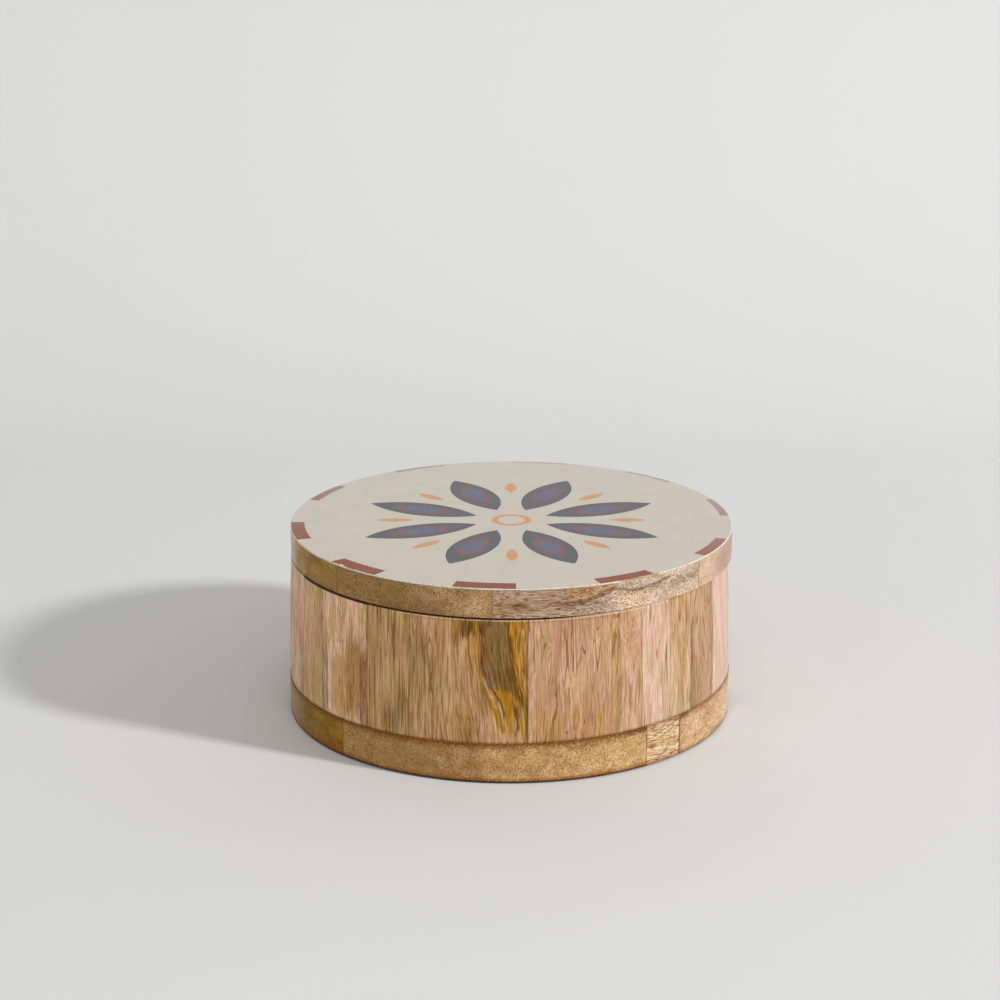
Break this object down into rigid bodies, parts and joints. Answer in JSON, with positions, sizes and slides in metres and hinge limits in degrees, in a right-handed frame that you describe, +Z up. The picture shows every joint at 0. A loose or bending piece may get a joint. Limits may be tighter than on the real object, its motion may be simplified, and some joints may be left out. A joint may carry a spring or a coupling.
{
  "type": "round lidded wooden box",
  "caption": "Round keepsake box of glued wooden staves on a board base, with a loose lift-off lid whose top is cream enamel.",
  "frame": {"origin": "centre of the underside, on the surface the box stands on", "axes": "+Z up along the axis of the round box, +X to the right and -Y towards the viewer as pictured, with the grain of the lid and base boards along Y"},
  "size_m": [0.2006, 0.2006, 0.0858],
  "materials": {
    "lid_enamel": "satin cream enamel with painted terracotta, slate and ochre ornament",
    "lid_wood": "satin clear-lacquered mango wood, end grain and long grain",
    "wall_wood": "satin clear-lacquered mango wood, upright grain, partly spalted",
    "base_wood": "satin clear-lacquered mango wood, end grain"
  },
  "bodies": {
    "box": {"base_board_1": "base_wood", "base_board_2": "base_wood", "base_board_3": "base_wood", "base_board_4": "base_wood", "stave_01": "wall_wood", "stave_02": "wall_wood", "stave_03": "wall_wood", "stave_04": "wall_wood", "stave_05": "wall_wood", "stave_06": "wall_wood", "stave_07": "wall_wood", "stave_08": "wall_wood", "stave_09": "wall_wood", "stave_10": "wall_wood", "stave_11": "wall_wood", "stave_12": "wall_wood", "stave_13": "wall_wood", "stave_14": "wall_wood", "stave_15": "wall_wood", "stave_16": "wall_wood", "stave_17": "wall_wood", "stave_18": "wall_wood", "stave_19": "wall_wood", "stave_20": "wall_wood"},
    "lid": {"lid_board_1": "lid_wood", "lid_board_2": "lid_wood", "lid_board_3": "lid_wood", "lid_board_4": "lid_wood", "lid_enamel": "lid_enamel"}
  },
  "joints": [
    {"name": "lid_lift", "type": "slide", "parent": "box", "child": "lid", "axis": [0, 0, 1], "range_m": [0, 0.12]}
  ]
}
